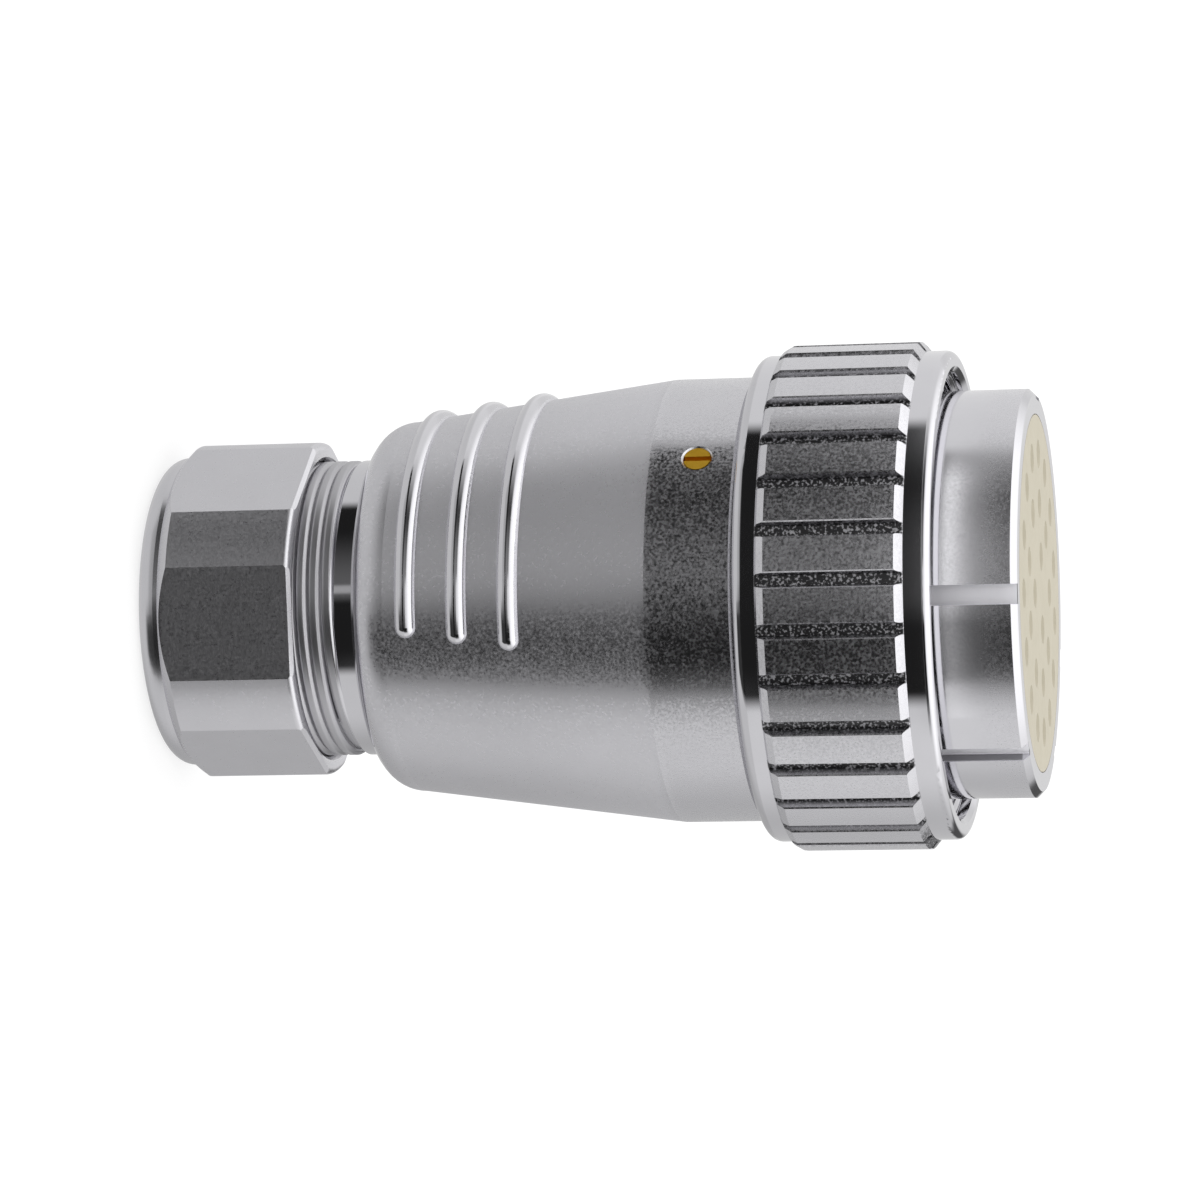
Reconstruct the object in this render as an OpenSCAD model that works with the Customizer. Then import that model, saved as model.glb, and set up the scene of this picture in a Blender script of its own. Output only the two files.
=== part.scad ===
// Straight cable plug of a circular multi-pole connector, with a knurled coupling ring.
// The plug's axis is +Z. It stands on the rear face of its gland nut, and the mating face is on top.
// Radii follow from the barrel and the cable, and heights stack up from the nut. All sizes are in mm.

/* [Main sizes] */
// Diameter of the barrel that enters the receptacle
barrel_d = 45.76; // [44.4:0.01:54]
// Diameter of the cable that the gland takes
cable_d = 18; // [14:0.5:20]
// Length of the back shell from its rear shoulder to its front face
back_len = 44.3; // [36:0.1:60]
// Length of the coupling ring
ring_len = 21.6; // [18:0.1:30]
// Length of the barrel in front of the coupling ring
barrel_proud = 8.8; // [6:0.1:14]
// Length of the gland nut
nut_len = 18.2; // [16.5:0.1:26]

/* [Contacts] */
// Radius of the inner row of contacts, as a share of the outer row's
inner_row_share = 0.3; // [0.29:0.01:0.36]
// Diameter of a contact's socket barrel
contact_d = 3.5; // [3:0.1:3.8]
// Diameter of the pin that a contact takes
pin_d = 2.1; // [1.6:0.1:2.4]
// Diameter of a contact's shank and solder cup
shank_d = 2.8; // [2.4:0.1:3.2]
// Diameter of the wire that a solder cup takes
wire_d = 2; // [1.4:0.1:2.1]
// Height of the collar that the inserts trap
collar_t = 1.5; // [1:0.1:3]
// Step from the barrel out to the collar
collar_step = 0.35; // [0.3:0.05:0.5]
// Radial room of the entry holes round a pin
entry_room = 0.2; // [0.1:0.05:0.3]
// Flare of the entry holes at the mating face
entry_flare = 0.4; // [0.2:0.1:0.6]
// Depth of a contact's mouth below the mating face
contact_sunk = 2.5; // [1.5:0.1:4]
// Depth of the pin socket
socket_depth = 12; // [8:0.5:16]
// Width of the spring slots in a socket
slot_w = 0.4; // [0.2:0.1:0.6]
// Length of a solder cup behind the rear insert
cup_len = 8; // [5:0.5:12]

/* [Inserts] */
// Wall of the front insert outside the outer contact row
insert_edge = 2.1; // [1.9:0.1:4]
// Length of the rear insert behind the shell's ledge
rear_insert_len = 12; // [6:0.5:14]
// Overlap of the rear insert on the ledge
rear_seat = 0.7; // [0.5:0.1:1.2]
// Diameter of the centre screw
insert_screw_d = 3; // [2.5:0.1:3.4]
// Width of the slot in the centre screw's head
insert_screw_slot = 0.8; // [0.5:0.1:1]
// Length of the centre screw's thread in the front insert
insert_screw_grip = 12; // [6:0.5:16]

/* [Front shell] */
// Wall of the barrel round the front insert
barrel_wall = 2.8; // [2.4:0.05:4]
// Chamfer of the barrel's rim
barrel_chamfer = 0.7; // [0.3:0.05:1]
// Width of the ledge between the two inserts
ledge_w = 1.3; // [0.9:0.1:1.4]
// Thickness of that ledge
ledge_t = 2.2; // [1.5:0.1:4]
// Wall of the rear thread round the rear insert
spigot_wall = 2.3; // [1.8:0.1:4]
// Length of the rear thread in the back shell
shell_thread_len = 10; // [8:0.5:14]
// Step from the rear thread up to the ring's journal
journal_step = 1.1; // [0.8:0.1:1.4]
// Thickness of the flange in front of the ring's lip
flange_t = 2.5; // [1.5:0.1:4]
// Width of the four plain keyways
keyway_w = 2.2; // [1.5:0.1:3]
// Width of the master keyway
master_keyway_w = 3; // [2:0.1:4]
// Depth of the keyways
keyway_depth = 1.1; // [0.6:0.1:1.6]
// Thickness of the rubber gasket on the flange
gasket_t = 1; // [0.6:0.1:2]
// Depth of the groove that the gasket is stretched into
gasket_groove = 0.5; // [0.3:0.1:0.8]

/* [Coupling ring] */
// Radial room between barrel and ring, for the receptacle's rim
ring_space = 2.3; // [1.9:0.05:4]
// Wall of the ring at its smooth lips
ring_wall = 2.25; // [1.8:0.05:4]
// Length of the smooth rear lip
rear_lip = 2.6; // [2.2:0.1:4]
// Length of the smooth front lip
front_lip = 2.9; // [2:0.1:6]
// Thickness of the inner lip that holds the ring on
inner_lip_t = 2.6; // [2:0.1:4]
// Height of the knurled band over the lips
knurl_h = 1.05; // [0.9:0.05:1.5]
// Number of axial grooves in the knurled band
knurl_count = 32; // [24:1:36]
// Width of a groove's floor
groove_floor = 1.1; // [0.6:0.1:1.6]
// Depth of a groove
groove_depth = 0.95; // [0.5:0.05:1]
// Slope of a groove's sides, as width over depth
groove_slope = 0.3; // [0:0.05:0.6]
// Chamfer along a groove's edges
groove_chamfer = 0.15; // [0.05:0.05:0.25]
// Length of the bevel at the front end of the knurled band
knurl_bevel = 0.85; // [0.4:0.05:1.2]
// Length of the flatter bevel at its rear end
knurl_rear_bevel = 0.8; // [0.4:0.05:1.2]
// Slope of that rear bevel, as height over length
knurl_rear_slope = 0.55; // [0.3:0.05:0.7]
// Length of the steep step under the rear bevel
knurl_rear_step = 0.3; // [0.1:0.05:0.6]
// Length of the relief behind the ring's thread
ring_relief = 3; // [2.8:0.1:4]
// Chamfer where the ring's thread starts
ring_chamfer = 0.5; // [0.3:0.1:0.8]
// Rounding of the ring's rear edge
rear_round = 1.1; // [0.8:0.1:1.9]
// Rounding of the ring's front edge
front_round = 0.9; // [0.4:0.1:1.4]

/* [Back shell] */
// Wall round the front shell's thread
back_wall = 3.05; // [2.4:0.05:5]
// Length of the straight part behind the coupling ring
back_land = 9.6; // [6:0.1:12]
// Radial step from the gland thread up to the taper
shoulder_step = 4.25; // [3.6:0.05:5]
// Rounding of the rear shoulder
shoulder_round = 4.5; // [4.3:0.1:7]
// Wall of the tapered part
taper_wall = 3.2; // [2.4:0.1:4]
// Distance of the first grip bead from the shoulder
bead_first = 7.2; // [6:0.1:10]
// Distance from bead to bead
bead_pitch = 5.95; // [4:0.05:7]
// Radius of a bead's section
bead_r = 1.25; // [0.8:0.05:1.5]
// Height of a bead over the taper
bead_h = 0.95; // [0.5:0.05:1.1]
// Half the angle that the first bead spans
bead_half_span = 96; // [60:1:130]
// Growth of that angle from bead to bead
bead_span_step = 1.8; // [0:0.1:5]

/* [Lock screw] */
// Diameter of the lock screw
lock_d = 3; // [2.5:0.1:4]
// Place of the lock screw behind the front face, as a share of the rear thread's length
lock_share = 0.435; // [0.26:0.005:0.5]
// Depth of the screw's slotted end below the surface
lock_sunk = 0.15; // [0.1:0.05:0.8]
// Depth of the screw's tip in the front shell's thread
lock_tip = 0.7; // [0.3:0.1:1]
// Width of the screw's slot
lock_slot_w = 0.6; // [0.4:0.1:0.8]
// Depth of the screw's slot
lock_slot_depth = 0.8; // [0.5:0.1:1.2]
// Chamfer of the screw's hole
lock_chamfer = 0.25; // [0.2:0.05:0.6]

/* [Cable gland] */
// Wall of the grommet
grommet_wall = 3.4; // [2.4:0.1:5]
// Length of the grommet
grommet_len = 9; // [6:0.5:11]
// Chamfer of the grommet's edges
grommet_chamfer = 0.8; // [0.4:0.1:1]
// Wall of the gland thread round the grommet
gland_wall = 3.5; // [2:0.1:5]
// Depth of the gland thread
gland_thread_depth = 0.8; // [0.5:0.1:1]
// Length of the plain collar between gland thread and shoulder
gland_plain = 2; // [0.5:0.1:3]
// Length of the ledge that the grommet rests on
throat_len = 2; // [1:0.1:4]
// Room of the throat behind the grommet, on the radius
throat_room = 1.2; // [0.5:0.1:2.4]
// Thickness of the slip washer
washer_t = 1.8; // [1:0.1:2.4]
// Room of the slip washer round the cable, on the radius
washer_room = 1.3; // [0.8:0.1:1.8]

/* [Gland nut] */
// Length of thread that shows between nut and shoulder
thread_show = 6.7; // [4:0.1:8]
// Distance that the nut can still be tightened
nut_travel = 3; // [1:0.5:3.5]
// Wall of the nut at its wrench flats
nut_wall = 0.95; // [0.9:0.05:3]
// Height of the rounded corners over the flats
nut_corner = 1.1; // [0.5:0.1:2]
// Thickness of the nut's rear wall
nut_floor = 4.6; // [3.6:0.1:6]
// Room of the nut's rear hole round the cable, on the radius
nut_hole_room = 2; // [1:0.1:2.4]
// Chamfer of the rear hole
nut_hole_chamfer = 0.6; // [0.3:0.1:1]
// Step from the flats down to the rear collar
nut_collar_step = 0.25; // [0.1:0.05:0.6]
// Length of the rear collar
nut_collar_len = 2.6; // [2.3:0.1:5]
// Rounding of the nut's rear edge
nut_round = 2.1; // [1:0.1:2.2]
// Length of the chamfer at the rear of the corners
nut_chamfer = 1.3; // [1:0.1:3]
// Rounding at the front of the corners
nut_front_round = 0.8; // [0.6:0.1:1.6]
// Chamfer at the front of the flats
nut_front_chamfer = 0.4; // [0.2:0.05:0.45]

/* [Clearances] */
// Radial play of the coupling ring on its journal
ring_play = 0.1; // [0.05:0.01:0.15]
// Axial play at each side of the ring's inner lip
ring_float = 0.35; // [0.2:0.05:0.6]
// Radial room of the flange and the gasket in the ring
flange_room = 0.4; // [0.3:0.05:0.8]
// Radial room of the inserts in the front shell
insert_room = 0.1; // [0.05:0.05:0.15]
// Radial room of the contacts in the inserts
contact_room = 0.08; // [0.05:0.01:0.12]
// Radial room between the two shells' threads
thread_room = 0.15; // [0.1:0.05:0.25]
// Radial room of the gland nut on its thread
nut_room = 0.15; // [0.1:0.05:0.3]
// Radial room of the grommet in the gland
grommet_room = 0.2; // [0.1:0.05:0.4]
// Radial room of the slip washer in the gland
washer_play = 0.3; // [0.2:0.05:0.5]
// Axial room that stays between a fully tightened nut and the gland
nut_end_room = 0.5; // [0.3:0.1:1]
// Axial room behind the front shell's thread
thread_relief = 0.6; // [0.4:0.1:1]
// Axial room where two pieces seat
seat_room = 0.1; // [0.05:0.05:0.2]
// Radial room of the screws in their holes
screw_room = 0.05; // [0.03:0.01:0.1]

/* [Hidden] */
$fn = 96;
// Overlap of a cutting solid past the face that it cuts
cut = 1;
// Chamfers of small turned edges and of thread ends
edge_break = 0.3;
thread_chamfer = 0.4;
// Degrees in a full turn, and from the middle of a wrench flat to its corner
turn = 360;
half_flat = 30;

// Where things sit round the axis, in degrees from +X; the view from the front of the photo is -Y
keyway_angles = [270, 320, 35, 70];
master_keyway_angle = 175;
lock_angle = 231.5;
flat_angle = 274.5;
groove_angle = 265.9;
bead_angle = 180;

// Contact rows: how many contacts, and where the first one sits
row_counts = [3, 9, 15];
row_starts = [30, 10, 6];
contact_count = row_counts[0] + row_counts[1] + row_counts[2];
function row_of(i) = i < row_counts[0] ? 0 : i < row_counts[0] + row_counts[1] ? 1 : 2;
function place_of(i) = i - (row_of(i) > 0 ? row_counts[0] : 0) - (row_of(i) > 1 ? row_counts[1] : 0);
function contact_angle(i) = row_starts[row_of(i)] + turn * place_of(i) / row_counts[row_of(i)];
function contact_row_r(i) = inner_row_r + row_of(i) * row_pitch;
function contact_name(i) = str("contact_", i < 9 ? "0" : "", i + 1);

// Radii from the barrel inwards to the contact rows
contact_r = contact_d / 2;
shank_r = shank_d / 2;
collar_r = contact_r + collar_step;
barrel_r = barrel_d / 2;
barrel_bore_r = barrel_r - barrel_wall;
insert_r = barrel_bore_r - insert_room;
outer_row_r = insert_r - insert_edge - collar_r - contact_room;
inner_row_r = inner_row_share * outer_row_r;
row_pitch = (outer_row_r - inner_row_r) / 2;

// Radii of the inserts' seat, the rear thread and the coupling ring
ledge_r = barrel_bore_r - ledge_w;
boss_r = ledge_r - insert_room;
rear_insert_r = ledge_r + rear_seat;
rear_bore_r = rear_insert_r + insert_room;
spigot_r = rear_bore_r + spigot_wall;
journal_r = spigot_r + journal_step;
ring_bore_r = barrel_r + ring_space;
flange_r = ring_bore_r - flange_room;
groove_r = barrel_r - gasket_groove;
lip_r = ring_bore_r + ring_wall;
crest_r = lip_r + knurl_h;
inner_lip_r = journal_r + ring_play;
ring_relief_r = ring_bore_r + ring_wall / 3;

// Radii of the gland, from the cable outwards, and of the back shell
cable_r = cable_d / 2;
grommet_r = cable_r + grommet_wall;
gland_bore_r = grommet_r + grommet_room;
gland_core_r = gland_bore_r + gland_wall;
gland_thread_r = gland_core_r + gland_thread_depth;
throat_r = cable_r + throat_room;
washer_r = gland_bore_r - washer_play;
nut_bore_r = gland_thread_r + nut_room;
nut_flat_r = nut_bore_r + nut_wall;
nut_r = nut_flat_r + nut_corner;
nut_collar_r = nut_flat_r - nut_collar_step;
nut_hole_r = cable_r + nut_hole_room;
shell_thread_r = spigot_r + thread_room;
back_r = shell_thread_r + back_wall;
taper_r = gland_thread_r + shoulder_step;
lock_back = lock_share * shell_thread_len;

// Heights from the nut's rear face to the mating face
washer_z = nut_floor + seat_room;
grommet_z = washer_z + washer_t + nut_travel + seat_room;
throat_z = grommet_z + grommet_len;
cavity_z = throat_z + throat_len;
gland_z = nut_floor + nut_travel + nut_end_room;
shoulder_z = nut_len + thread_show;
plain_z = shoulder_z - gland_plain;
taper_z = shoulder_z + shoulder_round;
back_front_z = shoulder_z + back_len;
land_z = back_front_z - back_land;
spigot_z = back_front_z - shell_thread_len;
thread_end_z = spigot_z - thread_relief;
ring_z = back_front_z + ring_float;
flange_z = ring_z + inner_lip_t + ring_float;
flange_front_z = flange_z + flange_t;
gasket_front_z = flange_front_z + gasket_t;
ledge_front_z = flange_z + ledge_t;
front_z = ring_z + ring_len + barrel_proud;
rear_face_z = flange_z - rear_insert_len;
mouth_z = front_z - contact_sunk;

// Outer radius of the taper at height z
function taper_at(z) = taper_r + (back_r - taper_r) * (z - taper_z) / (land_z - taper_z);

SHELL_NODES = ["back_shell", "lock_screw", "front_shell", "face_gasket", "coupling_ring"];
INSERT_NODES = ["socket_insert", "rear_insert", "insert_screw"];
GLAND_NODES = ["gland_grommet", "slip_washer", "gland_nut"];
CONTACT_NODES = [for (i = [0 : contact_count - 1]) contact_name(i)];

chrome = [0.75, 0.75, 0.76];
brass = [0.83, 0.66, 0.32];
cream = [0.87, 0.84, 0.74];
rubber = [0.13, 0.13, 0.13];
zinc = [0.62, 0.63, 0.65];

// A rectangle of a turned section, from radius r0 to r1 and height z0 to z1
module band(r0, r1, z0, z1) {
    translate([r0, z0]) square([r1 - r0, z1 - z0]);
}

// The quarter disc that rounds a turned section's outer edge; it faces down, or up with up = true
module edge_round(r, z, radius, up = false) {
    intersection() {
        translate([r, z]) circle(radius);
        translate([r, up ? z : z - radius]) square(radius);
    }
}

// One piece at every contact's place
module at_contact(i) {
    rotate(contact_angle(i)) translate([contact_row_r(i), 0, 0]) children();
}

// Cast rear housing: gland thread, rounded shoulder, taper, straight land and the wiring space
module back_shell() {
    color(chrome) difference() {
        union() {
            rotate_extrude() difference() {
                back_outline();
                back_cavity();
            }
            for (i = [0 : 2])
                grip_bead(shoulder_z + bead_first + i * bead_pitch, bead_half_span + i * bead_span_step);
        }
        lock_hole(lock_d / 2 + screw_room, back_r + cut);
        rotate(lock_angle) translate([back_r - lock_chamfer, 0, back_front_z - lock_back])
            rotate([0, 90, 0])
            cylinder(r1 = lock_d / 2, r2 = lock_d / 2 + 2 * lock_chamfer, h = 2 * lock_chamfer);
    }
}

module back_outline() {
    band(0, gland_core_r, gland_z, plain_z);
    band(0, gland_thread_r, plain_z, shoulder_z + shoulder_round / 4);
    band(0, taper_r - shoulder_round, shoulder_z, taper_z);
    edge_round(taper_r - shoulder_round, taper_z, shoulder_round);
    polygon([
        [0, taper_z], [taper_r, taper_z], [back_r, land_z], [back_r, back_front_z - edge_break],
        [back_r - edge_break, back_front_z], [0, back_front_z]
    ]);
}

module back_cavity() {
    polygon([
        [0, gland_z - cut], [gland_bore_r + thread_chamfer + cut, gland_z - cut],
        [gland_bore_r, gland_z + thread_chamfer], [gland_bore_r, throat_z],
        [throat_r, throat_z], [throat_r, cavity_z], [gland_bore_r, cavity_z],
        [taper_r - taper_wall, taper_z], [taper_at(thread_end_z) - taper_wall, thread_end_z],
        [shell_thread_r, thread_end_z], [shell_thread_r, back_front_z + cut], [0, back_front_z + cut]
    ]);
}

// Half-round bead over the photo's upper side, with a round end at both sides
module grip_bead(z, half_span) {
    centre_r = taper_at(z) + bead_h - bead_r;
    rotate(bead_angle - half_span) rotate_extrude(angle = 2 * half_span)
        translate([centre_r, z]) circle(bead_r);
    for (side = [-1, 1])
        rotate(bead_angle + side * half_span) translate([centre_r, 0, z]) sphere(bead_r);
}

// Radial hole of the lock screw, from the screw's tip out to radius r1
module lock_hole(radius, r1) {
    r0 = spigot_r - lock_tip;
    rotate(lock_angle) translate([r0, 0, back_front_z - lock_back]) rotate([0, 90, 0])
        cylinder(r = radius, h = r1 - r0);
}

// Slotted brass grub screw through the back shell into the front shell's thread
module lock_screw() {
    slot_r = back_r - lock_sunk - lock_slot_depth;
    color(brass) difference() {
        lock_hole(lock_d / 2, back_r - lock_sunk);
        rotate(lock_angle) translate([slot_r, -lock_slot_w / 2, back_front_z - lock_back - lock_d])
            cube([lock_slot_depth + cut, lock_slot_w, 2 * lock_d]);
    }
}

// Turned front shell: rear thread, journal of the ring, flange, keyed barrel and the inserts' ledge
module front_shell() {
    color(chrome) difference() {
        rotate_extrude() polygon([
            [rear_bore_r, spigot_z], [spigot_r - thread_chamfer, spigot_z],
            [spigot_r, spigot_z + thread_chamfer], [spigot_r, back_front_z],
            [journal_r, back_front_z], [journal_r, flange_z], [flange_r, flange_z],
            [flange_r, flange_front_z], [groove_r, flange_front_z], [groove_r, gasket_front_z],
            [barrel_r, gasket_front_z],
            [barrel_r, front_z - barrel_chamfer], [barrel_r - barrel_chamfer, front_z],
            [barrel_bore_r, front_z], [barrel_bore_r, ledge_front_z],
            [ledge_r, ledge_front_z], [ledge_r, flange_z], [rear_bore_r, flange_z]
        ]);
        for (a = keyway_angles) keyway(a, keyway_w);
        keyway(master_keyway_angle, master_keyway_w);
        lock_hole(lock_d / 2 + screw_room, back_r);
    }
}

module keyway(angle, width) {
    rotate(angle) translate([barrel_r - keyway_depth, -width / 2, gasket_front_z])
        cube([keyway_depth + cut, width, front_z - gasket_front_z + cut]);
}

// Flat rubber ring on the flange, against which the receptacle's rim seals
module face_gasket() {
    color(rubber) rotate_extrude()
        band(groove_r + seat_room, flange_r, flange_front_z, gasket_front_z - seat_room);
}

// Knurled ring, held between the flange and the back shell by its inner lip, with a plain thread bore
module coupling_ring() {
    top_z = ring_z + ring_len;
    knurl_z = ring_z + rear_lip;
    knurl_end_z = top_z - front_lip;
    inner_lip_z = ring_z + inner_lip_t;
    step_r = crest_r - knurl_rear_slope * knurl_rear_bevel;
    color(chrome) difference() {
        rotate_extrude() {
            polygon([
                [inner_lip_r, ring_z], [lip_r - rear_round, ring_z],
                [lip_r - rear_round, ring_z + rear_round], [lip_r, ring_z + rear_round],
                [lip_r, knurl_z], [step_r, knurl_z + knurl_rear_step],
                [crest_r, knurl_z + knurl_rear_step + knurl_rear_bevel],
                [crest_r, knurl_end_z - knurl_bevel], [lip_r, knurl_end_z], [lip_r, top_z - front_round],
                [lip_r - front_round, top_z - front_round], [lip_r - front_round, top_z],
                [ring_bore_r + ring_chamfer, top_z], [ring_bore_r, top_z - ring_chamfer],
                [ring_bore_r, inner_lip_z + ring_relief], [ring_relief_r, inner_lip_z + ring_relief],
                [ring_relief_r, inner_lip_z], [inner_lip_r, inner_lip_z]
            ]);
            edge_round(lip_r - rear_round, ring_z + rear_round, rear_round);
            edge_round(lip_r - front_round, top_z - front_round, front_round, up = true);
        }
        for (i = [0 : knurl_count - 1])
            rotate(groove_angle + turn * i / knurl_count) knurl_groove(knurl_z, knurl_end_z);
    }
}

// One axial groove with bevelled sides and chamfered edges, as long as the knurled band
module knurl_groove(z0, z1) {
    floor_r = crest_r - groove_depth;
    edge_r = crest_r - groove_chamfer;
    floor_half = groove_floor / 2;
    edge_half = floor_half + groove_slope * (edge_r - floor_r);
    top_half = edge_half + groove_chamfer + cut;
    translate([0, 0, z0]) linear_extrude(z1 - z0) polygon([
        [floor_r, -floor_half], [edge_r, -edge_half], [crest_r + cut, -top_half],
        [crest_r + cut, top_half], [edge_r, edge_half], [floor_r, floor_half]
    ]);
}

// Front insulator with a closed entry in front of every contact
module socket_insert() {
    bore_r = contact_r + contact_room;
    entry_r = pin_d / 2 + entry_room;
    color(cream) difference() {
        translate([0, 0, ledge_front_z]) cylinder(r = insert_r, h = front_z - ledge_front_z);
        for (i = [0 : contact_count - 1]) at_contact(i) {
            translate([0, 0, ledge_front_z - cut])
                cylinder(r = bore_r, h = mouth_z + seat_room - ledge_front_z + cut);
            translate([0, 0, ledge_front_z - cut])
                cylinder(r = collar_r + contact_room, h = collar_t + seat_room + cut);
            translate([0, 0, mouth_z]) cylinder(r = entry_r, h = contact_sunk + cut);
            translate([0, 0, front_z - entry_flare])
                cylinder(r1 = entry_r, r2 = entry_r + 2 * entry_flare, h = 2 * entry_flare);
        }
        translate([0, 0, ledge_front_z - cut])
            cylinder(r = insert_screw_d / 2 + screw_room, h = insert_screw_grip + seat_room + cut);
    }
}

// Rear insulator, which closes the contacts' collars in and seats behind the ledge
module rear_insert() {
    color(cream) difference() {
        union() {
            translate([0, 0, rear_face_z]) cylinder(r = rear_insert_r, h = flange_z - rear_face_z);
            translate([0, 0, rear_face_z]) cylinder(r = boss_r, h = ledge_front_z - rear_face_z);
        }
        for (i = [0 : contact_count - 1]) at_contact(i)
            translate([0, 0, rear_face_z - cut])
                cylinder(r = shank_r + contact_room, h = ledge_front_z - rear_face_z + 2 * cut);
        translate([0, 0, rear_face_z - cut])
            cylinder(r = insert_screw_d / 2 + screw_room, h = ledge_front_z - rear_face_z + 2 * cut);
    }
}

// Cheese-head screw that clamps both inserts on the ledge
module insert_screw() {
    head_r = 0.9 * insert_screw_d;
    head_t = 0.7 * insert_screw_d;
    color(zinc) difference() {
        union() {
            translate([0, 0, rear_face_z - head_t]) cylinder(r = head_r, h = head_t);
            translate([0, 0, rear_face_z])
                cylinder(r = insert_screw_d / 2, h = ledge_front_z + insert_screw_grip - rear_face_z);
        }
        translate([-head_r - cut, -insert_screw_slot / 2, rear_face_z - head_t - cut])
            cube([2 * (head_r + cut), insert_screw_slot, head_t / 2 + cut]);
    }
}

// Turned socket contact: slotted pin socket, collar, shank and an open solder cup
module contact(i) {
    cup_z = rear_face_z - cup_len;
    color(brass) at_contact(i) difference() {
        union() {
            translate([0, 0, cup_z]) cylinder(r = shank_r, h = ledge_front_z - cup_z);
            translate([0, 0, ledge_front_z]) cylinder(r = collar_r, h = collar_t);
            translate([0, 0, ledge_front_z]) cylinder(r = contact_r, h = mouth_z - ledge_front_z);
        }
        translate([0, 0, mouth_z - socket_depth]) cylinder(r = pin_d / 2, h = socket_depth + cut);
        translate([-contact_r - cut, -slot_w / 2, mouth_z - 0.8 * socket_depth])
            cube([2 * (contact_r + cut), slot_w, socket_depth + cut]);
        translate([0, 0, cup_z - cut]) cylinder(r = wire_d / 2, h = 0.75 * cup_len + cut);
        translate([0, -shank_r - cut, cup_z - cut])
            cube([shank_r + cut, 2 * (shank_r + cut), 0.5 * cup_len + cut]);
    }
}

// Rubber bush in the gland's bore, against the throat
module gland_grommet() {
    edge = grommet_chamfer;
    color(rubber) rotate_extrude() polygon([
        [cable_r + edge, grommet_z], [grommet_r - edge, grommet_z], [grommet_r, grommet_z + edge],
        [grommet_r, throat_z - edge], [grommet_r - edge, throat_z], [cable_r + edge, throat_z],
        [cable_r, throat_z - edge], [cable_r, grommet_z + edge]
    ]);
}

// Metal washer that the nut turns on, small enough to enter the gland's bore
module slip_washer() {
    color(zinc) rotate_extrude() band(cable_r + washer_room, washer_r, washer_z, washer_z + washer_t);
}

// Gland nut: six wrench flats with rounded corners, round rear collar, cable hole and thread bore
module gland_nut() {
    color(chrome) difference() {
        intersection() {
            rotate_extrude() difference() {
                nut_outline();
                nut_cavity();
            }
            rotate(flat_angle - half_flat) translate([0, 0, -cut])
                cylinder(r = nut_flat_r / cos(half_flat), h = nut_len + 2 * cut, $fn = 6);
        }
        for (i = [0 : 5]) rotate(flat_angle + 2 * half_flat * i) flat_edge();
    }
}

// Breaks the front edge of one wrench flat
module flat_edge() {
    side = sqrt(2) * nut_front_chamfer;
    translate([nut_flat_r, 0, nut_len]) rotate([0, 45, 0]) cube([side, nut_r, side], center = true);
}

module nut_outline() {
    band(0, nut_collar_r - nut_round, 0, nut_round);
    edge_round(nut_collar_r - nut_round, nut_round, nut_round);
    band(0, nut_collar_r, nut_round, nut_collar_len);
    polygon([
        [0, nut_collar_len], [nut_collar_r, nut_collar_len], [nut_r, nut_collar_len + nut_chamfer],
        [nut_r, nut_len - nut_front_round], [nut_r - nut_front_round, nut_len - nut_front_round],
        [nut_r - nut_front_round, nut_len], [0, nut_len]
    ]);
    edge_round(nut_r - nut_front_round, nut_len - nut_front_round, nut_front_round, up = true);
}

module nut_cavity() {
    polygon([
        [0, -cut], [nut_hole_r + nut_hole_chamfer + cut, -cut], [nut_hole_r, nut_hole_chamfer],
        [nut_hole_r, nut_floor], [nut_bore_r, nut_floor], [nut_bore_r, nut_len - thread_chamfer],
        [nut_bore_r + thread_chamfer + cut, nut_len + cut], [0, nut_len + cut]
    ]);
}

back_shell();
lock_screw();
front_shell();
face_gasket();
coupling_ring();
socket_insert();
rear_insert();
insert_screw();
gland_grommet();
slip_washer();
gland_nut();
for (i = [0 : contact_count - 1])
    contact(i);
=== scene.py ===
# Straight cable plug of a circular connector: finishes, threads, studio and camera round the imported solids.
# The plug's axis is +Z and it stands on its gland nut. Sizes are in metres, in the frame of the solids.
import math

import bpy
from mathutils import Matrix, Vector


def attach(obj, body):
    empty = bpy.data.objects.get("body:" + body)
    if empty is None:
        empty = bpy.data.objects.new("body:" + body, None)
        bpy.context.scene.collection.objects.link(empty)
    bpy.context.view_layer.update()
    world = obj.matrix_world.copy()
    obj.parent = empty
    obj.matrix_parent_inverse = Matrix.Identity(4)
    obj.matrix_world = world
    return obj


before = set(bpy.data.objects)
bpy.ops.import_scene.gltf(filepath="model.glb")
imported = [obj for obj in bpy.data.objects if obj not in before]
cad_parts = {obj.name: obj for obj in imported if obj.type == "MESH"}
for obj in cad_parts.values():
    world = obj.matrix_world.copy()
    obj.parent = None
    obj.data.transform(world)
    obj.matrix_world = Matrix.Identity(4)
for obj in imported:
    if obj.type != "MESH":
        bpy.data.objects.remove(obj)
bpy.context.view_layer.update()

# The view of the photograph: a long lens a little in front of the plug's side, with the plug lying across
# the picture. Picture right is +Z, picture up is -X, and the camera looks along +Y and a little down.
SWING = math.radians(11.3)
TILT = math.radians(1.24)
LENS_LENGTH, SENSOR_WIDTH, NEAREST = 147, 36, 0.01
CAMERA_PLACE = (-0.0003, -0.5470, 0.1591)
picture_right = Vector((math.sin(TILT), math.sin(SWING) * math.cos(TILT), math.cos(SWING) * math.cos(TILT)))
picture_up = Vector((-math.cos(TILT), math.sin(SWING) * math.sin(TILT), math.cos(SWING) * math.sin(TILT)))
towards_camera = picture_right.cross(picture_up)
lens = bpy.data.cameras.new("photo_lens")
lens.lens = LENS_LENGTH
lens.sensor_width = SENSOR_WIDTH
lens.clip_start = NEAREST
camera = bpy.data.objects.new("photo_camera", lens)
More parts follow.
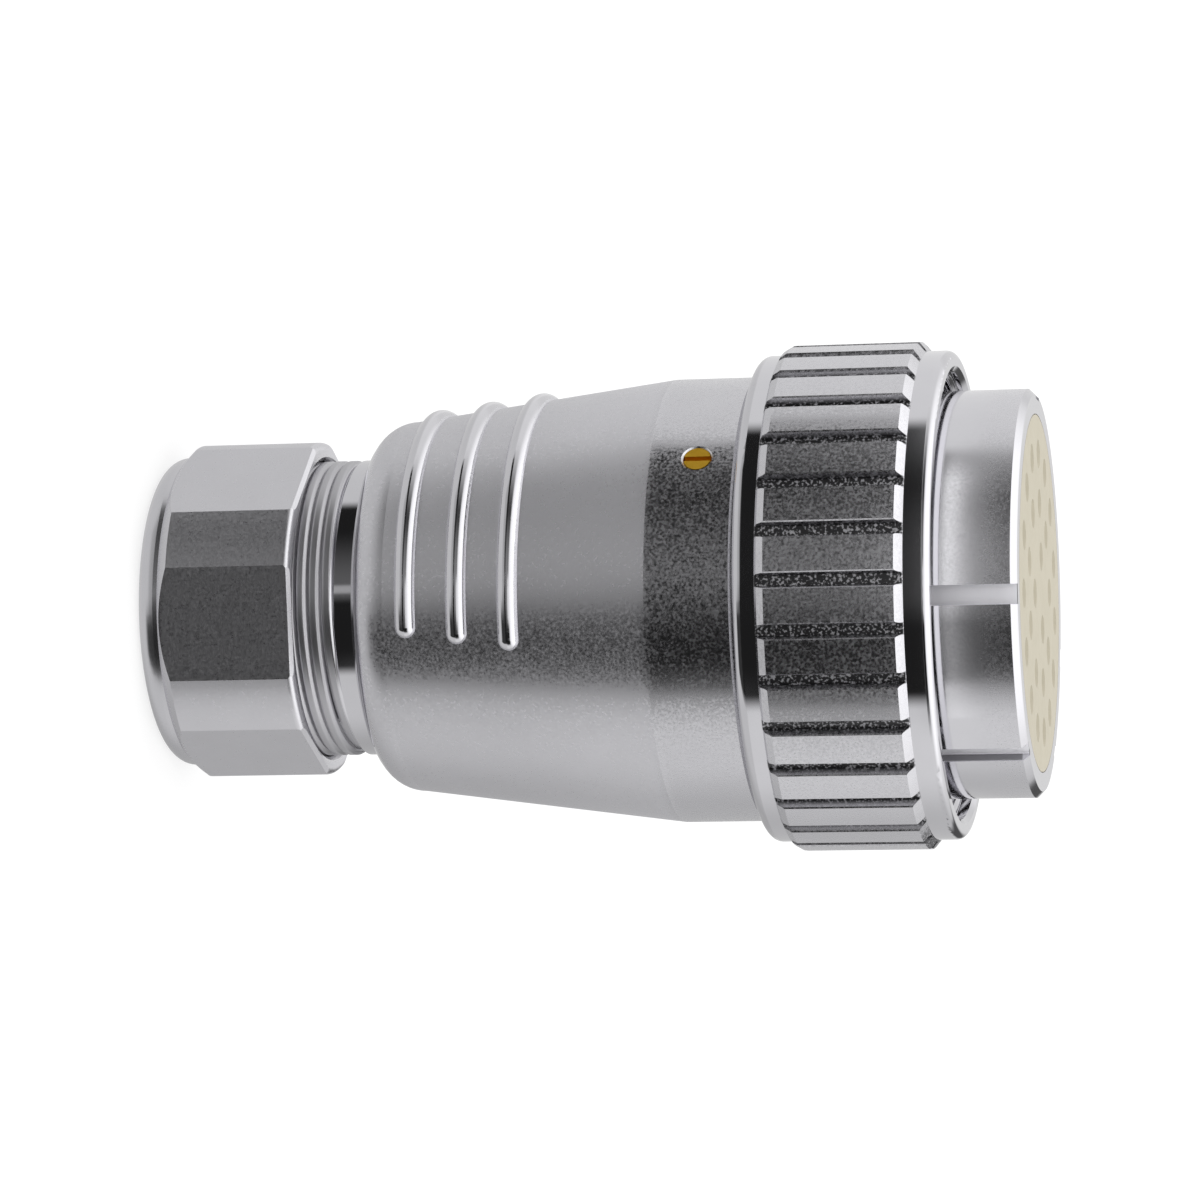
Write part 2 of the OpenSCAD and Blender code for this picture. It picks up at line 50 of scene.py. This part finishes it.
camera_turn = Matrix((picture_right, picture_up, towards_camera)).transposed().to_4x4()
camera.matrix_world = Matrix.Translation(CAMERA_PLACE) @ camera_turn
bpy.context.scene.collection.objects.link(camera)
bpy.context.scene.camera = camera


# Socket contacts: turned brass with a bright silver plate, a slotted spring socket at the front and a
# solder cup at the rear. The two inserts trap them by their collars.
class Wire:
    """An output in a node tree. Sums and products with it add Math nodes, and node() adds any node."""

    def __init__(self, tree, socket=None):
        self.tree = tree
        self.socket = socket

    def node(self, kind, settings=None, values=None, out=0):
        node = self.tree.nodes.new(kind)
        for name, value in (settings or {}).items():
            setattr(node, name, value)
        for name, value in (values or {}).items():
            if isinstance(value, Wire):
                self.tree.links.new(value.socket, node.inputs[name])
            else:
                node.inputs[name].default_value = value
        return Wire(self.tree, node.outputs[out])

    def maths(self, operation, first, second):
        return self.node("ShaderNodeMath", {"operation": operation}, {0: first, 1: second})

    def __add__(self, other):
        return self.maths("ADD", self, other)

    def __sub__(self, other):
        return self.maths("SUBTRACT", self, other)

    def __rsub__(self, other):
        return self.maths("SUBTRACT", other, self)

    def __mul__(self, other):
        return self.maths("MULTIPLY", self, other)

    __radd__ = __add__
    __rmul__ = __mul__

    def feed(self, shader, name):
        self.tree.links.new(self.socket, shader.inputs[name])

    def rise(self, start, end):
        """0 below start and 1 above end, smooth between them; with end below start it falls."""
        low, high = (0, 1) if start < end else (1, 0)
        limits = {"From Min": min(start, end), "From Max": max(start, end), "To Min": low, "To Max": high}
        return self.node(
            "ShaderNodeMapRange", {"interpolation_type": "SMOOTHSTEP"}, {"Value": self, **limits}
        )

    def noise(self, size, detail):
        """Noise from 0 to 1 with spots of about that size, at the place that this wire gives."""
        return self.node("ShaderNodeTexNoise", values={"Vector": self, "Scale": 1 / size, "Detail": detail})

    def tint(self, dark, light):
        """A colour between two, by this value."""
        return self.node(
            "ShaderNodeMix", {"data_type": "RGBA"}, {0: self, 6: (*dark, 1), 7: (*light, 1)}, out=2
        )


def new_finish(name, nodes, metallic):
    """A material on the given solids: its shader, and the wire that tells a point's place."""
    material = bpy.data.materials.new(name)
    material.use_nodes = True
    shader = material.node_tree.nodes["Principled BSDF"]
    shader.inputs["Metallic"].default_value = metallic
    for node in nodes:
        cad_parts[node].data.materials.clear()
        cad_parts[node].data.materials.append(material)
    place = Wire(material.node_tree).node("ShaderNodeTexCoord", out="Object")
    return shader, place


def mottled_finish(name, nodes, metallic, dark, light, clouds, roughness, spots, grain, depth):
    """A finish whose colour drifts between two in clouds, whose roughness goes between two in spots, and
    whose grain stands out by a depth. Clouds, spots and grain are each a size and a detail."""
    shader, place = new_finish(name, nodes, metallic)
    place.noise(*clouds).tint(dark, light).feed(shader, "Base Color")
    smooth, rough = roughness
    (place.noise(*spots) * (rough - smooth) + smooth).feed(shader, "Roughness")
    relief = {"Height": place.noise(*grain), "Distance": depth, "Strength": 1.0}
    place.node("ShaderNodeBump", values=relief).feed(shader, "Normal")


CONTACT_COUNT = 27
mottled_finish(
    "silver_plate",
    [f"contact_{i:02d}" for i in range(1, CONTACT_COUNT + 1)],
    metallic=1,
    dark=(0.70, 0.67, 0.60),
    light=(0.86, 0.84, 0.79),
    clouds=(0.0012, 2),
    roughness=(0.16, 0.32),
    spots=(0.0004, 2),
    grain=(0.00015, 2),
    depth=0.000004,
)

# Inserts: two discs of moulded cream thermoset, one behind the other. Their faces are matt, with the faint
# mottling of filled resin and a slight orange peel from the mould.
mottled_finish(
    "cream_resin",
    ["socket_insert", "rear_insert"],
    metallic=0,
    dark=(0.49, 0.45, 0.34),
    light=(0.56, 0.515, 0.405),
    clouds=(0.0022, 4),
    roughness=(0.42, 0.62),
    spots=(0.0007, 2),
    grain=(0.00045, 3),
    depth=0.000012,
)

# Centre screw: a zinc-plated steel cheese-head that draws both inserts against the front shell's ledge.
# The slip washer in the gland has the same plating.
mottled_finish(
    "zinc_plate",
    ["insert_screw", "slip_washer"],
    metallic=1,
    dark=(0.50, 0.51, 0.54),
    light=(0.66, 0.67, 0.69),
    clouds=(0.003, 3),
    roughness=(0.24, 0.44),
    spots=(0.0006, 2),
    grain=(0.0002, 2),
    depth=0.000006,
)


# Front shell: turned barrel with five keyways, a flange and the ring's journal, plated in satin chrome that
# gets duller towards the bright rim. The keyways' floors are bare and painted paler, as painted light, and
# their walls are painted darker, as painted shade.
def coordinate(place, axis):
    """One coordinate of a place or of a direction."""
    return place.node("ShaderNodeSeparateXYZ", values={0: place}, out=axis)


def height_at(place):
    """A place's height over the floor."""
    return coordinate(place, "Z")


def radius_at(place):
    """A place's distance from the plug's axis."""
    flat = place.node("ShaderNodeVectorMath", {"operation": "MULTIPLY"}, {0: place, 1: (1, 1, 0)})
    return flat.node("ShaderNodeVectorMath", {"operation": "LENGTH"}, {0: flat}, out="Value")


PLATE_BLACK, PLATE_WHITE = (0, 0, 0), (0.967, 0.96, 1.0)
PLATE_TONE, CLOUD_TONE = 0.705, 0.045
PLATE_CLOUDS, PLATE_GRAIN, GRAIN_SPREAD = (0.004, 3), (0.0003, 1), 0.35


def chrome(name, node, roughness, grain, shade=None):
    """Chrome plate on a solid. Its roughness, the strength of its grain and, where there is one, a factor on
    its tone are worked out from the place on the plug. On the barrel and the back shell that factor is
    painted light and shade; on the ring it gives dark speckles in the grooves."""
    shader, place = new_finish(name, [node], metallic=1)
    speckle = place.noise(*PLATE_GRAIN)
    tone = place.noise(*PLATE_CLOUDS) * CLOUD_TONE + PLATE_TONE
    if shade:
        tone = tone * shade(place, speckle)
    tone.tint(PLATE_BLACK, PLATE_WHITE).feed(shader, "Base Color")
    (roughness(place) + (speckle - 0.5) * grain(place) * GRAIN_SPREAD).feed(shader, "Roughness")
    return shader, place


EDGE = 0.0001
RING_FRONT, RIM_HEIGHT, FACE_HEIGHT = 0.09115, 0.09925, 0.09995
BARREL_RADIUS = 0.02288
WALL_TOP, WALL_FOOT = BARREL_RADIUS - 0.00008, BARREL_RADIUS - 0.00016
FLOOR_TOP, FLOOR_FOOT = BARREL_RADIUS - 0.0009, BARREL_RADIUS - 0.00105
FLOOR_FRONT, FLOOR_FULL = FACE_HEIGHT - 0.00003, FACE_HEIGHT - 0.00012
WEAR_START, WEAR_END = RING_FRONT + 0.001, RIM_HEIGHT - 0.002
BARREL_ROUGHNESS, WEAR_ROUGHNESS, RIM_ROUGHNESS = 0.11, 0.13, 0.12
BARREL_GRAIN, WEAR_GRAIN = 0.2, 0.6
FLOOR_ROUGHNESS, FLOOR_PAINTED_LIGHT, FLOOR_BARENESS = 0.45, 0.3, 0.8
WALL_POLISH, WALL_PAINTED_SHADE = 0.6, 0.6


def keyway(place):
    """1 on the keyways' floors and in the bore."""
    floor = radius_at(place).rise(FLOOR_TOP, FLOOR_FOOT)
    return floor * height_at(place).rise(FLOOR_FRONT, FLOOR_FULL)


def keyway_wall(place):
    """1 on the keyways' side walls."""
    wall = radius_at(place).rise(WALL_TOP, WALL_FOOT) * (1 - keyway(place))
    return wall * height_at(place).rise(RIM_HEIGHT, RIM_HEIGHT - 2 * EDGE)


def barrel_wear(place):
    """0 beside the ring, and 1 close to the rim."""
    return height_at(place).rise(WEAR_START, WEAR_END)


def barrel_roughness(place):
    rim = height_at(place).rise(RIM_HEIGHT - EDGE, RIM_HEIGHT + EDGE) * (1 - keyway(place))
    satin = BARREL_ROUGHNESS + WEAR_ROUGHNESS * barrel_wear(place)
    satin = satin * (1 - WALL_POLISH * keyway_wall(place))
    return (satin + FLOOR_ROUGHNESS * keyway(place)) * (1 - rim) + RIM_ROUGHNESS * rim


def barrel_grain(place):
    worn = BARREL_GRAIN + WEAR_GRAIN * barrel_wear(place)
    return worn * height_at(place).rise(RIM_HEIGHT, RIM_HEIGHT - 2 * EDGE)


# The barrel's tone: the keyway floors are painted paler, as painted light, and the keyway walls are painted
# darker, as painted shade.
shader, place = chrome(
    "barrel_chrome",
    "front_shell",
    barrel_roughness,
    barrel_grain,
    lambda place, speckle: 1 + FLOOR_PAINTED_LIGHT * keyway(place) - WALL_PAINTED_SHADE * keyway_wall(place),
)
(1 - FLOOR_BARENESS * keyway(place)).feed(shader, "Metallic")

# Face gasket: a flat ring of black rubber, stretched into the groove in front of the flange.
# The grommet in the gland is the same rubber.
mottled_finish(
    "black_rubber",
    ["face_gasket", "gland_grommet"],
    metallic=0,
    dark=(0.012, 0.012, 0.013),
    light=(0.030, 0.030, 0.031),
    clouds=(0.0015, 4),
    roughness=(0.55, 0.75),
    spots=(0.0006, 2),
    grain=(0.0004, 4),
    depth=0.00002,
)

# Coupling ring: turned and knurled, satin on the knurled band and bright on both lips, with dark speckles
# in the grooves. Its thread takes the receptacle, and its inner lip runs between flange and back shell.
PITCH, THREAD_STEPS, RUN_OUT_STEPS = 0.0015, 96, 24
THREAD_SINK, LEAST_RISE = 0.1, 0.05
THREAD_FLANK = ((-0.499, 0), (-0.499, 0.66), (-0.38, 0.72), (-0.27, 0.96), (-0.22, 1), (-0.1, 1))


def screw_thread(name, core, crest, start, end, body):
    """A right-handed thread that stands on a bore or a rod of radius core and reaches to radius crest. Its
    section is the flank and its mirror image, in pitches along the axis and in shares of its depth."""
    count = int((end - start) / PITCH * THREAD_STEPS)
    sunk = core - THREAD_SINK * (crest - core)
    section = THREAD_FLANK + tuple((-along, out) for along, out in reversed(THREAD_FLANK))
    points = []
    for i in range(count + 1):
        angle = 2 * math.pi * i / THREAD_STEPS
        rise = max(LEAST_RISE, min(1, i / RUN_OUT_STEPS, (count - i) / RUN_OUT_STEPS))
        for along, out in section:
            radius = sunk + (crest - sunk) * out * rise
            height = start + PITCH * (i / THREAD_STEPS + along)
            points.append((radius * math.cos(angle), radius * math.sin(angle), height))
    size = len(section)
    faces = [list(range(size)), list(range(count * size, (count + 1) * size))[::-1]]
    for i in range(count):
        for j in range(size):
            a, b = i * size + j, i * size + (j + 1) % size
            faces.append([a, a + size, b + size, b])
    if crest < core:
        faces = [face[::-1] for face in faces]
    mesh = bpy.data.meshes.new(name)
    mesh.from_pydata(points, [], faces)
    mesh.update()
    mesh.shade_smooth()
    thread = bpy.data.objects.new(name, mesh)
    bpy.context.scene.collection.objects.link(thread)
    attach(thread, body)
    return thread


LIP_RADIUS = 0.02743
KNURL_START, KNURL_END = 0.07215, 0.08825
GROOVES, FIRST_GROOVE, GROOVE_WIDTH = 32, math.radians(265.9), 0.0013
BORE_RADIUS, BORE_CREST = 0.02518, 0.02455
BORE_THREAD_START, BORE_THREAD_END = 0.0766, 0.0898
LIP_ROUGHNESS, KNURL_ROUGHNESS, GROOVE_ROUGHNESS = 0.06, 0.20, 0.2
KNURL_GRAIN = 1.5
SPECKLE_CLEAR, SPECKLE_FULL, SPECKLE_DARKNESS = 0.66, 0.50, 0.88


def knurled(place):
    """1 on the knurled band and 0 on the lips and in the bore."""
    height = height_at(place)
    band = height.rise(KNURL_START - EDGE, KNURL_START + EDGE)
    band = band * height.rise(KNURL_END + EDGE, KNURL_END - EDGE)
    return band * radius_at(place).rise(LIP_RADIUS - 3 * EDGE, LIP_RADIUS - EDGE)


def grooved(place):
    """1 in the grooves of the knurled band, which are spread evenly round it."""
    step = 2 * math.pi / GROOVES
    angle = place.maths("ARCTAN2", coordinate(place, "Y"), coordinate(place, "X"))
    turns = (angle - FIRST_GROOVE) * (1 / step) + 0.5
    off = place.node("ShaderNodeMath", {"operation": "FRACT"}, {0: turns}) - 0.5
    off = place.node("ShaderNodeMath", {"operation": "ABSOLUTE"}, {0: off}) * (step * LIP_RADIUS)
    return knurled(place) * off.rise(GROOVE_WIDTH / 2 + EDGE, GROOVE_WIDTH / 2 - EDGE)


def ring_roughness(place):
    return LIP_ROUGHNESS + KNURL_ROUGHNESS * knurled(place) + GROOVE_ROUGHNESS * grooved(place)


def ring_grain(place):
    return KNURL_GRAIN * knurled(place)


def ring_shade(place, speckle):
    return 1 - grooved(place) * speckle.rise(SPECKLE_CLEAR, SPECKLE_FULL) * SPECKLE_DARKNESS


chrome("ring_chrome", "coupling_ring", ring_roughness, ring_grain, ring_shade)
coupling_thread = screw_thread(
    "coupling_thread", BORE_RADIUS, BORE_CREST, BORE_THREAD_START, BORE_THREAD_END, "coupling_ring"
)
coupling_thread.data.materials.append(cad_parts["coupling_ring"].data.materials[0])

# Back shell: zinc casting with a tapered body and three grip beads, frosted by blasting before its plating.
# The straight land is less frosted, the beads and the neck are bright, and the gland thread is duller. Its
# colour is painted paler towards the land, as painted light, and painted darker on the land and the gland
# thread, as painted shade.
GLAND_CORE, GLAND_CREST = 0.0161, 0.0169
THREAD_START, THREAD_END = 0.0088, 0.0222
BODY_START, BODY_FULL = 0.0259, 0.0269
TAPER_START, TAPER_RADIUS, PAINTED_LIGHT_START = 0.0294, 0.02115, 0.0394
LAND_START, LAND_RADIUS, LAND_SOFT = 0.0596, 0.02508, 0.0012
BEADS_END = LAND_START - 0.001
TAPER = (LAND_RADIUS - TAPER_RADIUS) / (LAND_START - TAPER_START)
BRIGHT_ROUGHNESS, FROST_ROUGHNESS, LAND_SMOOTHNESS, THREAD_ROUGHNESS = 0.07, 0.29, 0.12, 0.3
BODY_GRAIN, LAND_GRAIN = 1.3, 0.3
TAPER_PAINTED_LIGHT, LAND_PAINTED_SHADE, THREAD_PAINTED_SHADE = 0.08, 0.12, 0.25


def on_thread(place):
    """1 on the gland thread."""
    return height_at(place).rise(THREAD_END + 3 * EDGE, THREAD_END)


def on_body(place):
    """0 on the thread and the neck, and 1 on the body."""
    return height_at(place).rise(BODY_START, BODY_FULL)


def on_bead(place):
    """1 on the beads, which stand proud of the taper."""
    height = height_at(place)
    proud = radius_at(place) - (height - TAPER_START) * TAPER
    bead = proud.rise(TAPER_RADIUS + 2 * EDGE, TAPER_RADIUS + 4 * EDGE)
    return bead * height.rise(LAND_START, BEADS_END)


def on_land(place):
    """1 on the straight land."""
    return height_at(place).rise(LAND_START - LAND_SOFT, LAND_START + LAND_SOFT)


def shell_roughness(place):
    frost = FROST_ROUGHNESS - LAND_SMOOTHNESS * on_land(place)
    frost = frost * (1 - on_bead(place)) * on_body(place)
    return frost + BRIGHT_ROUGHNESS + THREAD_ROUGHNESS * on_thread(place)


def shell_grain(place):
    return (BODY_GRAIN + LAND_GRAIN * on_land(place)) * on_body(place)


# Painted light and shade in the tone: paler towards the land, and darker on the land and on the gland thread.
def shell_painted_light_and_shade(place, speckle):
    painted_light = TAPER_PAINTED_LIGHT * height_at(place).rise(PAINTED_LIGHT_START, LAND_START)
    return 1 + painted_light - LAND_PAINTED_SHADE * on_land(place) - THREAD_PAINTED_SHADE * on_thread(place)


chrome("shell_chrome", "back_shell", shell_roughness, shell_grain, shell_painted_light_and_shade)
gland_thread = screw_thread("gland_thread", GLAND_CORE, GLAND_CREST, THREAD_START, THREAD_END, "plug")
gland_thread.data.materials.append(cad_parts["back_shell"].data.materials[0])

# Lock screw: a slotted grub screw of bare turned brass, sunk in a countersunk hole of the back shell.
# Its tip bites the front shell's thread, so that the back shell can't work loose.
mottled_finish(
    "turned_brass",
    ["lock_screw"],
    metallic=1,
    dark=(0.78, 0.43, 0.03),
    light=(0.96, 0.61, 0.07),
    clouds=(0.0007, 2),
    roughness=(0.3, 0.5),
    spots=(0.0003, 2),
    grain=(0.00012, 2),
    depth=0.000005,
)

# Gland nut: cast and plated as the back shell is, with six wrench flats and rounded corners, and screwed on
# the gland thread. The flats have a fine grain, and the rounded rear collar is smoother.
COLLAR_END, FLATS_FULL, NUT_FLAT = 0.0026, 0.0034, 0.0180
COLLAR_ROUGHNESS, FLAT_ROUGHNESS, FLAT_GRAIN = 0.22, 0.1, 0.6


def nut_flats(place):
    """1 on the wrench flats and corners, and 0 on the collar and in the bore."""
    past_collar = height_at(place).rise(COLLAR_END, FLATS_FULL)
    return past_collar * radius_at(place).rise(NUT_FLAT - 4 * EDGE, NUT_FLAT - 2 * EDGE)


chrome(
    "nut_chrome",
    "gland_nut",
    lambda place: COLLAR_ROUGHNESS + FLAT_ROUGHNESS * nut_flats(place),
    lambda place: FLAT_GRAIN * nut_flats(place),
)


# Studio floor: a wide white sheet that the plug stands on. The camera sees it lit close to white, with the
# plug's shadow on it, and the chrome reflects the dome in its place.
def studio_sheet(name, points, faces):
    """A sheet of the studio, and the empty node tree of its paint."""
    mesh = bpy.data.meshes.new(name)
    mesh.from_pydata(points, [], faces)
    paint = bpy.data.materials.new(name + "_paint")
    paint.use_nodes = True
    paint.node_tree.nodes.clear()
    mesh.materials.append(paint)
    sheet = bpy.data.objects.new(name, mesh)
    bpy.context.scene.collection.objects.link(sheet)
    return sheet, paint.node_tree


WHITE = (1, 1, 1, 1)
FLOOR_HALF = 3.0
FLOOR_GREY, FLOOR_GLOW, FLOOR_PAPER = (0.30, 0.30, 0.30, 1), 0.75, (0.85, 0.85, 0.85, 1)
floor_corners = [(x * FLOOR_HALF, y * FLOOR_HALF, 0) for x, y in ((-1, -1), (1, -1), (1, 1), (-1, 1))]
floor, tree = studio_sheet("floor", floor_corners, [(0, 1, 2, 3)])
floor.visible_glossy = False
start = Wire(tree)
seen = start.node("ShaderNodeLightPath", out="Is Camera Ray")
grey = start.node("ShaderNodeBsdfDiffuse", values={"Color": FLOOR_GREY})
glow = start.node("ShaderNodeEmission", values={"Color": WHITE, "Strength": FLOOR_GLOW})
lit = start.node("ShaderNodeAddShader", values={0: grey, 1: glow})
paper = start.node("ShaderNodeBsdfDiffuse", values={"Color": FLOOR_PAPER})
shown = start.node("ShaderNodeMixShader", values={0: seen, 1: paper, 2: lit})
shown.feed(tree.nodes.new("ShaderNodeOutputMaterial"), "Surface")

# Bounce band: a curved white strip in front of the ring, which only reflections show. It lights the barrel
# beside the ring, and fades towards the rim and towards the picture's top and bottom.
BAND_RADIUS, BAND_LOW, BAND_HIGH = 0.063, 0.0865, 0.0935
BAND_STEPS, BAND_START, BAND_SPAN = 64, -60, 155
BAND_LIGHT, LOW_SHARE = 1.3, 0.36
LOW_START, LOW_END = 0.24 * BAND_RADIUS, -0.04 * BAND_RADIUS
TOP_START, TOP_END = -1.0 * BAND_RADIUS, -0.80 * BAND_RADIUS
band_points = []
for i in range(BAND_STEPS + 1):
    angle = math.radians(BAND_START + BAND_SPAN * i / BAND_STEPS)
    for height in (BAND_LOW, BAND_HIGH):
        band_points.append((-BAND_RADIUS * math.sin(angle), -BAND_RADIUS * math.cos(angle), height))
band_faces = [(2 * i, 2 * i + 1, 2 * i + 3, 2 * i + 2) for i in range(BAND_STEPS)]
bounce, tree = studio_sheet("bounce_band", band_points, band_faces)
bounce.visible_camera = False
bounce.visible_diffuse = False
bounce.visible_shadow = False
place = Wire(tree).node("ShaderNodeTexCoord", out="Object")
x = coordinate(place, "X")
fade = height_at(place).rise(BAND_HIGH, BAND_LOW)
share = fade * fade * (LOW_SHARE + (1 - LOW_SHARE) * x.rise(LOW_START, LOW_END))
share = share * x.rise(TOP_START, TOP_END)
glow = place.node("ShaderNodeEmission", values={"Color": WHITE, "Strength": BAND_LIGHT})
clear = place.node("ShaderNodeBsdfTransparent")
shown = place.node("ShaderNodeMixShader", values={0: share, 1: clear, 2: glow})
shown.feed(tree.nodes.new("ShaderNodeOutputMaterial"), "Surface")

# Studio light: a pale dome, brightest overhead, and a black card on the camera's side, as wide as the
# plug's dark reflection. Turns are in degrees round the plug's axis, from the camera towards picture up.
# Heights are a ray's share of +Z: taper, land and barrel each reflect a height of their own.
CARD_LOW, CARD_HIGH, CARD_SOFT, CARD_LEAN = -50, 88, 5, 14
CARD_BLACK, REAR_LIGHT, FRONT_LIGHT, SLIT_LIGHT = 0.015, 0.12, 0.24, 0.3
FOOT_LOW_LIGHT, FOOT_HIGH_LIGHT = 0.03, 0.43
DOME_LIGHT, DOME_MIDDLE, DOME_TOP, DOME_FAR_SHADE = 0.67, 0.17, 0.6, 0.3
BEHIND_SHADE, BEHIND_LOW_SHADE = 0.1, 0.75
world = bpy.data.worlds.new("studio")
bpy.context.scene.world = world
world.use_nodes = True
tree = world.node_tree
tree.nodes.clear()
start = Wire(tree)
ray = start.node("ShaderNodeTexCoord", out="Generated")
x, y, z = (coordinate(ray, axis) for axis in "XYZ")
around = start.maths("ARCTAN2", x * -1, y * -1)


def turn(first, last, wire=around):
    """0 at the first turn and 1 at the last one, smooth between them."""
    return wire.rise(math.radians(first), math.radians(last))


foot = z.rise(-0.32, -0.42)
land = z.rise(-0.172, -0.182) * z.rise(-0.24, -0.23)
front = z.rise(-0.13, -0.122)
lean = around + math.radians(CARD_LEAN) * foot
upper = turn(-12, 12)

# The card's four edges, with a notch in the upper one.
low_edge = turn(CARD_LOW - CARD_SOFT, CARD_LOW + CARD_SOFT) * (1 - front - land)
low_edge = low_edge + turn(CARD_LOW - 5 * CARD_SOFT, CARD_LOW + CARD_SOFT) * front
low_edge = low_edge + turn(CARD_LOW - 4 * CARD_SOFT, CARD_LOW + 4 * CARD_SOFT) * land
high_edge = turn(CARD_HIGH + CARD_SOFT, CARD_HIGH - CARD_SOFT, lean) * (1 - front)
high_edge = high_edge + turn(CARD_HIGH + 3 * CARD_SOFT, CARD_HIGH - 8 * CARD_SOFT) * front
notch = turn(-14, -6) * turn(20, 10)
top_edge = z.rise(0.50, 0.30) * (1 - notch) + z.rise(0.25, 0.10) * notch
bottom_edge = z.rise(-0.92, -0.80) * (1 - upper) + z.rise(-0.74, -0.58) * upper
card = low_edge * high_edge * top_edge * bottom_edge

# What the card shows: two soft glows, a lit slit and a grey foot.
glow = turn(64, 16)
rear_glow = glow * turn(3, 12) * z.rise(-0.21, -0.24) * (1 - foot)
front_glow = glow * turn(-16, 2) * front
slit = turn(10, 13) * turn(19, 16) * z.rise(-0.22, -0.23) * z.rise(-0.30, -0.27)
card_tone = CARD_BLACK + REAR_LIGHT * rear_glow + FRONT_LIGHT * front_glow + SLIT_LIGHT * slit
card_tone = card_tone + foot * (FOOT_LOW_LIGHT + FOOT_HIGH_LIGHT * upper)

# The dome, which is darker on the far side below, and in a field behind the plug.
dome = DOME_LIGHT + DOME_MIDDLE * z.rise(-0.30, -0.10) + DOME_TOP * z.rise(0.25, 0.8)
dome = dome * (1 - DOME_FAR_SHADE * x.rise(0.0, 0.3) * y.rise(0.0, 0.7))
behind = y.rise(0.75, 0.88) * z.rise(-0.06, 0.02) * z.rise(0.42, 0.32)
dome = dome * (1 - behind * (BEHIND_SHADE + BEHIND_LOW_SHADE * x.rise(0.10, 0.22)))
light = dome * (1 - card) + card_tone * card
seen = start.node("ShaderNodeLightPath", out="Is Camera Ray")
studio = start.node("ShaderNodeBackground", values={"Color": light, "Strength": 1.0})
white = start.node("ShaderNodeBackground", values={"Color": WHITE, "Strength": 1.0})
shown = start.node("ShaderNodeMixShader", values={0: seen, 1: studio, 2: white})
shown.feed(tree.nodes.new("ShaderNodeOutputWorld"), "Surface")
bpy.context.scene.view_settings.view_transform = "Standard"
